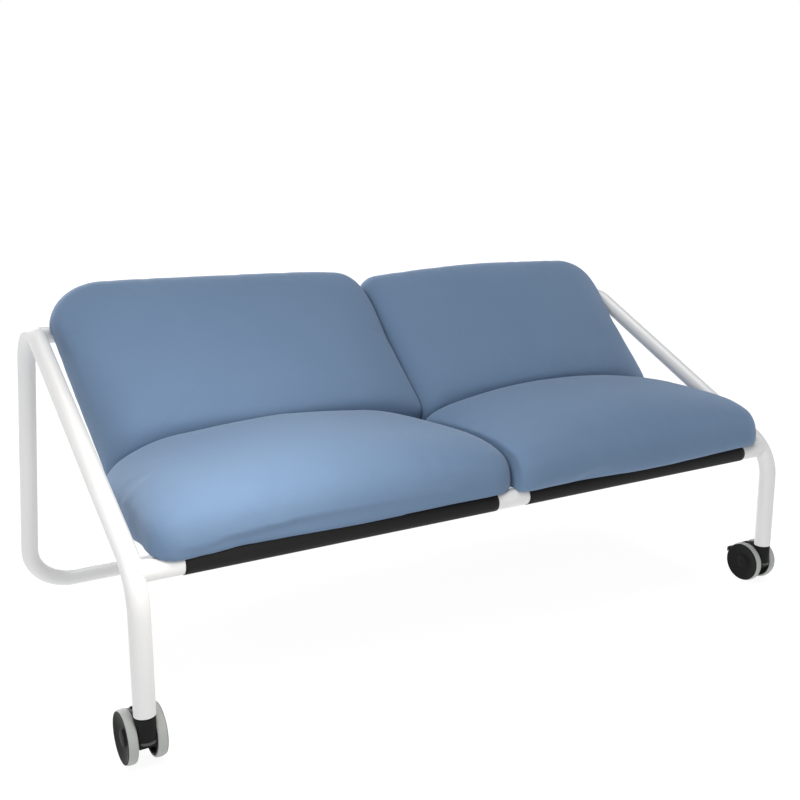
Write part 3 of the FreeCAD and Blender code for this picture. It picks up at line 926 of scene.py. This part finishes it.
@dataclass
class CushionSet:
    """The two seat and two back cushions, filled together."""

    geometry: SeatGeometry
    frames: int = 20

    def cushions(self) -> list[Cushion]:
        """The four cushions; the left ones reach a little past the middle, as in the photograph."""
        seat, back = self.geometry.seat, self.geometry.back
        return [
            Cushion(
                "seat_cushion_left", Side.LEFT, seat, self.geometry, SEAT_MIDDLE, SEAT_END,
                CushionEnd(-0.6372, -0.6430, 0.0814, 0.045, 0.575, 0.794, 1.020, 12.0),
                CushionEnd(0.0136, 0.0075, 0.0984, 0.062, 0.385, 0.840, 1.017, 2.2),
                corner_share=0.24, power=1.52, fullness=0.994, nose=-0.5, lip=17.9, taper=0.010,
                rear_soft=0.8, under=0.3, tucks=SEAT_LEFT_TUCKS,
            ),
            Cushion(
                "seat_cushion_right", Side.RIGHT, seat, self.geometry, SEAT_MIDDLE, SEAT_END,
                CushionEnd(-0.0099, 0.0085, 0.0821, 0.053, 0.171, 0.509, 0.949, 16.7),
                CushionEnd(0.6413, 0.6430, 0.0328, 0.056, 0.122, 0.107, 0.974, 2.9),
                corner_share=0.224, power=2.14, fullness=1.02, nose=5.6, lip=13.2, under=0.48,
                tucks=SEAT_RIGHT_TUCKS, tuck_soft=14 * MM,
            ),
            Cushion(
                "back_cushion_left", Side.LEFT, back, self.geometry, BACK_MIDDLE, BACK_END,
                CushionEnd(-0.6348, -0.6430, 0.0740, 0.100, 0.394, 0.900, 1.024, 6.5),
                CushionEnd(0.0193, 0.0085, 0.1352, 0.067, 0.589, 0.238, 1.075, 1.0),
                corner_share=0.38, power=3.12, fullness=0.996, nose=2.5, taper=0.0381, lean=0.013,
                fold_corner=0.3,
            ),
            Cushion(
                "back_cushion_right", Side.RIGHT, back, self.geometry, BACK_MIDDLE, BACK_END,
                CushionEnd(-0.0058, 0.0095, 0.0551, 0.045, 0.833, 0.846, 1.021, -12.2),
                CushionEnd(0.6538, 0.6430, 0.1206, 0.108, 0.734, 0.371, 1.008, 9.5),
                corner_share=0.36, power=1.50, fullness=1.052, nose=2.0, lean=0.013, fold_corner=0.3,
            ),
        ]

    def build(self) -> None:
        """Makes, fills, settles and dresses the cushions."""
        cushions = self.cushions()
        for cushion in cushions:
            cushion.build()
        self.fill(cushions)
        for cushion in cushions:
            cushion.settle()
            cushion.dress()

    def fill(self, cushions: list[Cushion]) -> None:
        """Runs the cloth of all cushions from the first frame to the last."""
        for cushion in cushions:
            cushion.add_cloth()
        scene = bpy.context.scene
        for number in range(1, self.frames + 1):
            scene.frame_set(number)


# Frame, slings and casters


@dataclass
class TubeFrame:
    """The white tubes, with a weld round each end of both crossbars."""

    geometry: SeatGeometry
    side_x: float = 660 * MM
    front_bend: float = 90 * MM
    front_turn: float = 39.0
    top_bend: float = 80 * MM
    arm_rise: float = 28.0
    leg_lean: float = 15.0
    bead: float = 0.9 * MM
    ripple: float = 0.22
    ripples: int = 44
    steps: int = 220
    bead_sides: int = 10

    def dress(self) -> None:
        """Paints the tubes and adds the welds."""
        paint("frame_paint", WHITE_PAINT)
        turn = math.radians(self.front_turn)
        front = self.geometry.front + self.front_bend * np.array([math.cos(turn), -math.sin(turn)])
        rise, lean = math.radians(self.arm_rise), math.radians(self.leg_lean)
        inward = np.array([math.sin(lean) - math.cos(rise), -math.cos(lean) - math.sin(rise)])
        top = self.geometry.top + self.top_bend * inward / np.linalg.norm(inward)
        for side in Side:
            self.weld("front", side, self.geometry.front, front, self.front_bend)
            self.weld("top", side, self.geometry.top, top, self.top_bend)

    def weld(self, place: str, side: Side, bar: Array, bend: Array, bend_radius: float) -> None:
        """A rippled bead along the line where a bar meets a side tube.

        At angle a round the bar the line's Y and Z are bar + r * (cos a, sin a). Its distance d from
        the tube's centre line is its distance from the bend's centre less the bend's radius, and its
        X is side_x - sqrt(r * r - d * d). The bead's radius is bead * (1 + ripple * sin(ripples * a)).

        Args:
            place: which bar.
            side: which end of it.
            bar: Y and Z of the bar's centre line.
            bend: Y and Z of the centre of the tube's bend there.
            bend_radius: the bend's radius.
        """
        radius = self.geometry.bar_radius
        angle = np.linspace(0, 2 * np.pi, self.steps, endpoint=False)
        ring = np.stack([np.cos(angle), np.sin(angle)], axis=1)
        off = np.linalg.norm(bar + radius * ring - bend, axis=1) - bend_radius
        deep = np.sqrt(np.maximum(radius ** 2 - off ** 2, self.bead ** 2))
        line = np.column_stack([side.value * (self.side_x - deep), bar + radius * ring])
        along = np.roll(line, -1, axis=0) - np.roll(line, 1, axis=0)
        along /= np.linalg.norm(along, axis=1, keepdims=True)
        out = np.column_stack([0 * angle, ring])
        out -= np.sum(out * along, axis=1, keepdims=True) * along
        out /= np.linalg.norm(out, axis=1, keepdims=True)
        other = np.cross(along, out)
        turn = np.linspace(0, 2 * np.pi, self.bead_sides, endpoint=False)[None, :, None]
        size = self.bead * (1 + self.ripple * np.sin(self.ripples * angle))[:, None, None]
        points = line[:, None] + size * (np.cos(turn) * out[:, None] + np.sin(turn) * other[:, None])
        name = f"{place}_weld_{side.word}"
        mesh = mesh_of(name, points, quads(*points.shape[:2], True, True))
        show(name, mesh, WHITE_PAINT, "frame")


@dataclass
class Sling:
    """A black sling: one cloth from a sleeve on the front bar, round the fold, to a sleeve on the top bar."""

    side: Side
    geometry: SeatGeometry
    inner_x: float = 34 * MM
    outer_x: float = 588.5 * MM
    thick: float = 0.9 * MM
    fold_radius: float = 20 * MM
    seam: float = 36 * MM
    flap: float = 62 * MM
    hem: float = 16 * MM
    stitch: float = 3.4 * MM
    stitch_pitch: float = 5.2 * MM
    thread: float = 0.36 * MM
    columns: int = 57

    def build(self) -> None:
        """Makes the cloth, its hems and its stitches."""
        sheet = self.cloth()
        hems = self.hems()
        stitches = self.stitches()
        float(self.lengths()[-1])
        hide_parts(f"sling_{self.side.word}")

    def half(self) -> Array:
        """The way from the flap's edge to the fold in s and t.

        The flap lies under the cloth, leaves it at the seam on a line that touches the bar's
        circle, goes round the bar, and comes back along the sitter's side.
        """
        middle = self.thick / 2
        bar = np.array([self.geometry.straight, -self.geometry.sleeve_radius])
        radius = self.geometry.sleeve_radius - middle
        seam = np.array([self.geometry.straight - self.seam, -3.2 * middle])
        toward = seam - bar
        start = math.atan2(toward[1], toward[0]) + math.acos(radius / np.linalg.norm(toward))
        angle = np.linspace(start, 2.5 * np.pi, 56)
        ring = bar + radius * np.stack([np.cos(angle), np.sin(angle)], axis=1)
        edge = np.array([self.geometry.straight - self.flap, seam[1]])
        near = np.array([self.fold_reach(), -middle])
        share = np.linspace(0, 1, 9)[:-1, None]
        long = np.linspace(0, 1, 48)[1:, None]
        return np.concatenate([edge + (seam - edge) * share, seam + (ring[0] - seam) * share, ring,
                               ring[-1] + (near - ring[-1]) * long])

    def fold_reach(self) -> float:
        """How far from the fold's corner the round of the fold starts."""
        half = math.acos(float(np.dot(self.geometry.seat.along, self.geometry.bisector()[0])))
        return self.fold_radius / math.tan(half)

    def path(self) -> Array:
        """The cloth's middle line in Y and Z, from the front flap to the top flap."""
        s, t = self.half().T
        seat = self.geometry.seat.at(0 * s, s, t)[:, 1:]
        back = self.geometry.back.at(0 * s, s, t)[::-1, 1:]
        line = self.geometry.bisector()[0]
        centre = self.geometry.fold + line * math.hypot(self.fold_reach(), self.fold_radius)
        first, last = seat[-1] - centre, back[0] - centre
        turn = math.acos(float(np.dot(first, last)) / (np.linalg.norm(first) * np.linalg.norm(last)))
        share = np.linspace(0, 1, 24)[1:-1, None]
        arc = centre + (np.sin((1 - share) * turn) * first + np.sin(share * turn) * last) / math.sin(turn)
        return np.concatenate([seat, arc, back])

    def lengths(self) -> Array:
        """How far along the cloth each point of the path is."""
        return np.concatenate([[0], np.cumsum(np.linalg.norm(np.diff(self.path(), axis=0), axis=1))])

    def cloth(self) -> bpy.types.Object:
        """The sheet: the path carried along X, given its thickness."""
        path, length = self.path(), self.lengths()
        x = self.side.value * np.linspace(self.inner_x, self.outer_x, self.columns)
        points = np.stack(np.broadcast_arrays(x[None, :], path[:, None, 0], path[:, None, 1]), axis=-1)
        flat = np.stack(np.broadcast_arrays(x[None, :], length[:, None]), axis=-1)
        name = f"sling_cloth_{self.side.word}"
        mesh = mesh_of(name, points, quads(*points.shape[:2]))
        store_cloth_map(mesh, flat.reshape(-1, 2))
        piece = show(name, mesh, SLING_CLOTH, "frame")
        self.thicken(piece, self.thick)
        return piece

    @staticmethod
    def thicken(piece: bpy.types.Object, thick: float) -> None:
        """Gives a sheet its thickness, half on each side."""
        wall = piece.modifiers.new("thickness", "SOLIDIFY")
        wall.thickness = thick
        wall.offset = 0.0

    def hems(self) -> bpy.types.Object:
        """The turned edges, flat strips below the cloth along both sides of each half."""
        s = np.linspace(2 * self.fold_reach(), self.geometry.straight - self.flap - 2 * MM, 40)
        points, flat = [], []
        for plane in (self.geometry.seat, self.geometry.back):
            for edge, inward in ((self.inner_x, 1), (self.outer_x, -1)):
                x = self.side.value * (edge + inward * np.array([0.15 * MM, self.hem / 2, self.hem]))
                points.append(plane.at(x[None, :], s[:, None], -1.55 * self.thick))
                flat.append(np.stack(np.broadcast_arrays(x[None, :], s[:, None]), axis=-1))
        faces = np.concatenate([quads(len(s), 3) + k * len(s) * 3 for k in range(len(points))])
        name = f"sling_hems_{self.side.word}"
        mesh = mesh_of(name, np.stack(points), faces)
        store_cloth_map(mesh, np.stack(flat).reshape(-1, 2))
        piece = show(name, mesh, SLING_CLOTH, "frame")
        self.thicken(piece, 0.8 * self.thick)
        return piece

    def stitches(self) -> bpy.types.Object:
        """Rows of thread below the hems and the flaps, as seen from behind and below.

        A stitch is a six-sided round bar along its row, its radius falling to half at both ends, half
        sunk into the cloth.
        """
        low, high = self.inner_x + 3 * MM, self.outer_x - 3 * MM
        across = self.side.value * np.arange(low, high, self.stitch_pitch)
        flap = self.geometry.straight - self.flap
        down = np.arange(2 * self.fold_reach(), flap - 4 * MM, self.stitch_pitch)
        rows = []
        for plane in (self.geometry.seat, self.geometry.back):
            along, out = np.array([0, *plane.along]), np.array([0, *plane.out])
            for inset in (5 * MM, 19 * MM):
                place = plane.at(across, flap + inset, -2.05 * self.thick)
                rows.append(self.stitch_row(place, np.array([1.0, 0, 0]), out))
            for edge, inward in ((self.inner_x, 1), (self.outer_x, -1)):
                x = self.side.value * (edge + inward * (self.hem - 3 * MM))
                rows.append(self.stitch_row(plane.at(x, down, -1.95 * self.thick), along, out))
        points = np.concatenate(rows)
        ends = [[0, 1, 2, 3], [0, 3, 4, 5], [21, 20, 19, 18], [23, 22, 21, 18]]
        one = np.concatenate([quads(4, 6, wrap_columns=True), ends])
        faces = (one[None] + 24 * np.arange(len(points))[:, None, None]).reshape(-1, 4)
        name = f"sling_stitches_{self.side.word}"
        return show(name, mesh_of(name, points, faces), BLACK_THREAD, "frame")

    def stitch_row(self, places: Array, along: Array, out: Array) -> Array:
        """Points of a row of stitches, four rings of six for each place."""
        other = np.cross(along, out)
        angle = np.linspace(0, 2 * np.pi, 6, endpoint=False)[None, :, None]
        step = np.array([-0.5, -0.3, 0.3, 0.5])[:, None, None] * self.stitch
        size = np.array([0.5, 1.0, 1.0, 0.5])[:, None, None] * self.thread
        one = along * step + size * (np.cos(angle) * out + np.sin(angle) * other)
        return places[:, None, None] + one[None]


@dataclass
class Caster:
    """A twin-wheel caster: dished hubs in grey treads, a hooded housing and a brake pedal."""

    side: Side
    steps: int = 96
    hub: tuple = (
        (13.8, 33.5, 0.6), (13.8, 36.0, 0.0), (28.3, 36.0, 0.0), (28.3, 38.2, 0.2), (28.8, 38.2, 0.4),
        (28.8, 35.8, 1.6), (25.6, 25.0, 6.0), (24.0, 15.6, 1.0), (24.3, 14.6, 0.8), (27.2, 12.4, 2.4),
        (28.3, 6.0, 3.0), (28.4, 0.0, 0.0), (25.3, 0.0, 0.0), (25.3, 4.05, 0.0), (13.8, 4.05, 0.4),
        (13.8, 10.6, 0.8), (21.0, 12.0, 1.5), (21.0, 33.5, 1.5),
    )
    tread: tuple = (
        (13.9, 36.05, 0.5), (28.25, 36.05, 0.0), (28.25, 38.1, 0.3), (26.4, 39.3, 1.6), (22.5, 40.0, 3.0),
        (17.0, 39.9, 3.0), (14.1, 38.4, 1.8),
    )
    lip: tuple = (
        (14.4, 40.3, 0.5), (16.0, 40.3, 1.2), (16.2, 42.6, 1.2), (15.6, 44.8, 0.6), (14.4, 44.8, 0.5),
    )
    lip_reach: float = 47.0

    def build(self) -> None:
        """Makes both wheels, the housing and the pedal."""
        axle = centre_of(f"caster_axle_{self.side.word}")
        for row in Row:
            self.wheel(row, axle)
        self.column_lip()
        self.shell("caster_housing", f"caster_{self.side.word}", 0.7 * MM)
        self.shell("brake_pedal", f"pedal_{self.side.word}", 0.8 * MM)

    def wheel(self, row: Row, axle: Array) -> None:
        """A hub and its tread, both outlines turned about the axle."""
        outward = self.side.value * row.value
        for kind, rows, finish, slot in (
            ("hub", self.hub, BLACK_PLASTIC, "black_plastic"),
            ("tread", self.tread, GREY_TREAD, "tread_rubber"),
        ):
            corners = np.array(rows) * MM
            profile = rounded(corners[:, :2], corners[:, 2], 5) * [outward, 1]
            name = f"{row.word}_{kind}_{self.side.word}"
            points, faces = lathe(profile, axle, self.steps)
            body = f"wheel_{row.word}_{self.side.word}"
            piece = show(f"{name}_turned", mesh_of(name, points, faces), finish, body)
            piece.data.set_sharp_from_angle(angle=math.radians(38))
            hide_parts(name)

    def column_lip(self) -> None:
        """The rounded lip at the foot of the column's front.

        Its outline is turned about the column's line through the reach to both sides, and shrinks
        to a point at both ends.
        """
        x, y, _ = centre_of(f"caster_stem_{self.side.word}")
        corners = np.array(self.lip) * MM
        outline = rounded(corners[:, :2], corners[:, 2], 5)
        turn = np.linspace(-1, 1, 41)
        share = np.sqrt(1 - turn ** 8)[:, None, None]
        radius, height = np.moveaxis(outline.mean(axis=0) + share * (outline - outline.mean(axis=0)), -1, 0)
        angle = np.radians(self.lip_reach) * turn[:, None]
        points = np.stack([x + radius * np.sin(angle), y - radius * np.cos(angle), height], axis=-1)
        name = f"column_lip_{self.side.word}"
        mesh = mesh_of(name, points, quads(*points.shape[:2], wrap_columns=True))
        # Lighter plastic than the rest of the column: a painted highlight on the lip.
        show(name, mesh, LIP_HIGHLIGHT_PLASTIC, f"caster_{self.side.word}")

    def shell(self, kind: str, body: str, edge: float) -> None:
        """A moulded piece: the frame's own shape with its edges rounded."""
        node = f"{kind}_{self.side.word}"
        piece = show(f"{node}_moulded", softened(node, edge), BLACK_PLASTIC, body)
        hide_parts(node)


def softened(node: str, edge: float) -> bpy.types.Mesh:
    """A copy of a frame piece's mesh with its triangles joined and its edges rounded.

    Args:
        node: the frame's piece.
        edge: how far from an edge its rounding starts.

    Returns:
        The new mesh.
    """
    mesh = frame["nodes"][node].data.copy()
    shape = bmesh.new()
    shape.from_mesh(mesh)
    bmesh.ops.remove_doubles(shape, verts=shape.verts, dist=1e-6)
    bmesh.ops.dissolve_limit(shape, angle_limit=math.radians(1.0), verts=shape.verts, edges=shape.edges)
    sharp = [e for e in shape.edges if e.is_manifold and e.calc_face_angle(0) > math.radians(32)]
    bmesh.ops.bevel(
        shape, geom=sharp, offset=edge, offset_type="OFFSET", segments=2, profile=0.5, affect="EDGES",
        clamp_overlap=True,
    )
    bmesh.ops.triangulate(shape, faces=shape.faces)
    shape.to_mesh(mesh)
    shape.free()
    shade_smooth(mesh)
    mesh.set_sharp_from_angle(angle=math.radians(34))
    mesh.update()
    return mesh


@dataclass
class Studio:
    """Pale floor, soft lights and a camera where the photograph was taken."""

    floor_radius: float = 14.0
    camera_place: tuple = (-1.0390, -1.6590, 0.7995)
    camera_turn: tuple = (78.38, 0.0, -32.0)
    lens: float = 44.97
    dim: float = 0.03
    fall: tuple = (0.17, 0.42)
    lamp_target: tuple = (-0.45, -0.33, 0.33)
    lamp_colour: tuple = (1.0, 0.97, 0.92)
    lamps: tuple = (("key", (-0.5, -0.5, 0.75), 1.4, 0.3), ("low_key", (-0.56, -0.62, 0.58), 1.05, 0.2))
    sun_angle: float = 40.0
    suns: tuple = (
        ("overhead", (0, 0, 3.0), 2.06), ("behind", (0, 2.82, 1.03), 2.48),
        ("beside", (-2.13, -1.23, 1.72), 0.59),
    )

    def build(self) -> None:
        """Makes the floor, the lights and the camera."""
        self.floor()
        self.lights()
        self.camera()

    def floor(self) -> None:
        """A round floor, given in rings and spokes."""
        radius = np.linspace(0, self.floor_radius, 3)[:, None]
        angle = np.linspace(0, 2 * np.pi, 64, endpoint=False)[None, :]
        points = np.stack([radius * np.cos(angle), radius * np.sin(angle), 0 * radius * angle], axis=-1)
        floor = bpy.data.objects.new("floor", mesh_of("floor", points, quads(3, 64, wrap_columns=True)))
        bpy.context.scene.collection.objects.link(floor)
        floor.data.materials.append(Backdrop("pale_floor").material())

    def lights(self) -> None:
        """A room that is white at eye level and dark above, two near lamps and three wide soft lights."""
        self.room()
        for name, place, power, size in self.lamps:
            lamp = self.place_light(name, "AREA", place, self.lamp_target, power)
            lamp.size = size
            lamp.color = self.lamp_colour
        for name, place, power in self.suns:
            sun = self.place_light(name, "SUN", place, (0, 0, 0), power)
            sun.angle = math.radians(self.sun_angle)

    def room(self) -> None:
        """The light of the room: full below the low height, falling to the dim share at the high one."""
        bpy.context.scene.view_settings.view_transform = "Standard"
        world = bpy.data.worlds.new("studio")
        bpy.context.scene.world = world
        world.use_nodes = True
        nodes, links = world.node_tree.nodes, world.node_tree.links
        height = nodes.new("ShaderNodeSeparateXYZ")
        links.new(nodes.new("ShaderNodeTexCoord").outputs["Generated"], height.inputs[0])
        fall = nodes.new("ShaderNodeMapRange")
        fall.interpolation_type = "SMOOTHSTEP"
        for number, value in enumerate((*self.fall, 1.0, self.dim), start=1):
            fall.inputs[number].default_value = value
        links.new(height.outputs["Z"], fall.inputs[0])
        links.new(fall.outputs[0], nodes["Background"].inputs["Color"])

    def place_light(self, name: str, kind: str, place: tuple, target: tuple, power: float) -> bpy.types.Light:
        """A light that looks from its place at a target.

        Args:
            name: the light's name.
            kind: Blender's type of light.
            place: where it is.
            target: what it looks at.
            power: its strength.

        Returns:
            The light's data, to set its size.
        """
        light = bpy.data.lights.new(name, kind)
        light.energy = power
        lamp = bpy.data.objects.new(name, light)
        lamp.location = place
        lamp.visible_camera = False
        lamp.rotation_euler = (Vector(target) - Vector(place)).to_track_quat("-Z", "Y").to_euler()
        bpy.context.scene.collection.objects.link(lamp)
        return light

    def camera(self) -> None:
        """The camera of the photograph."""
        data = bpy.data.cameras.new("camera")
        data.lens = self.lens
        data.sensor_width = 36.0
        camera = bpy.data.objects.new("camera", data)
        camera.location = self.camera_place
        camera.rotation_euler = [math.radians(angle) for angle in self.camera_turn]
        bpy.context.scene.collection.objects.link(camera)
        bpy.context.scene.camera = camera


def paint(slot: str, finish: Finish) -> None:
    """Gives every piece of the frame that has this material slot its finish.

    Args:
        slot: the record's material slot.
        finish: what its pieces are made of.
    """
    for row in frame["record"]["subparts"]:
        if row["material_slot"] == slot:
            piece = frame["nodes"][row["node"]]
            piece.data.materials.clear()
            piece.data.materials.append(finish.material())


def main() -> None:
    """Builds the sofa's pieces in order."""
    logging.basicConfig(level=logging.INFO, format="%(name)s %(message)s")
    geometry = SeatGeometry()
    Studio().build()
    TubeFrame(geometry).dress()
    finishes = {
        "sling_cloth": GRIP_TAPE, "grip_tape": GRIP_TAPE, "foam": FOAM, "black_plastic": BLACK_PLASTIC,
        "pale_plastic": PALE_PLASTIC, "tread_rubber": GREY_TREAD, "steel": STEEL,
    }
    for slot, finish in finishes.items():
        paint(slot, finish)
    for side in Side:
        Sling(side, geometry).build()
        Caster(side).build()
    CushionSet(geometry).build()


if __name__ == "__main__":
    main()
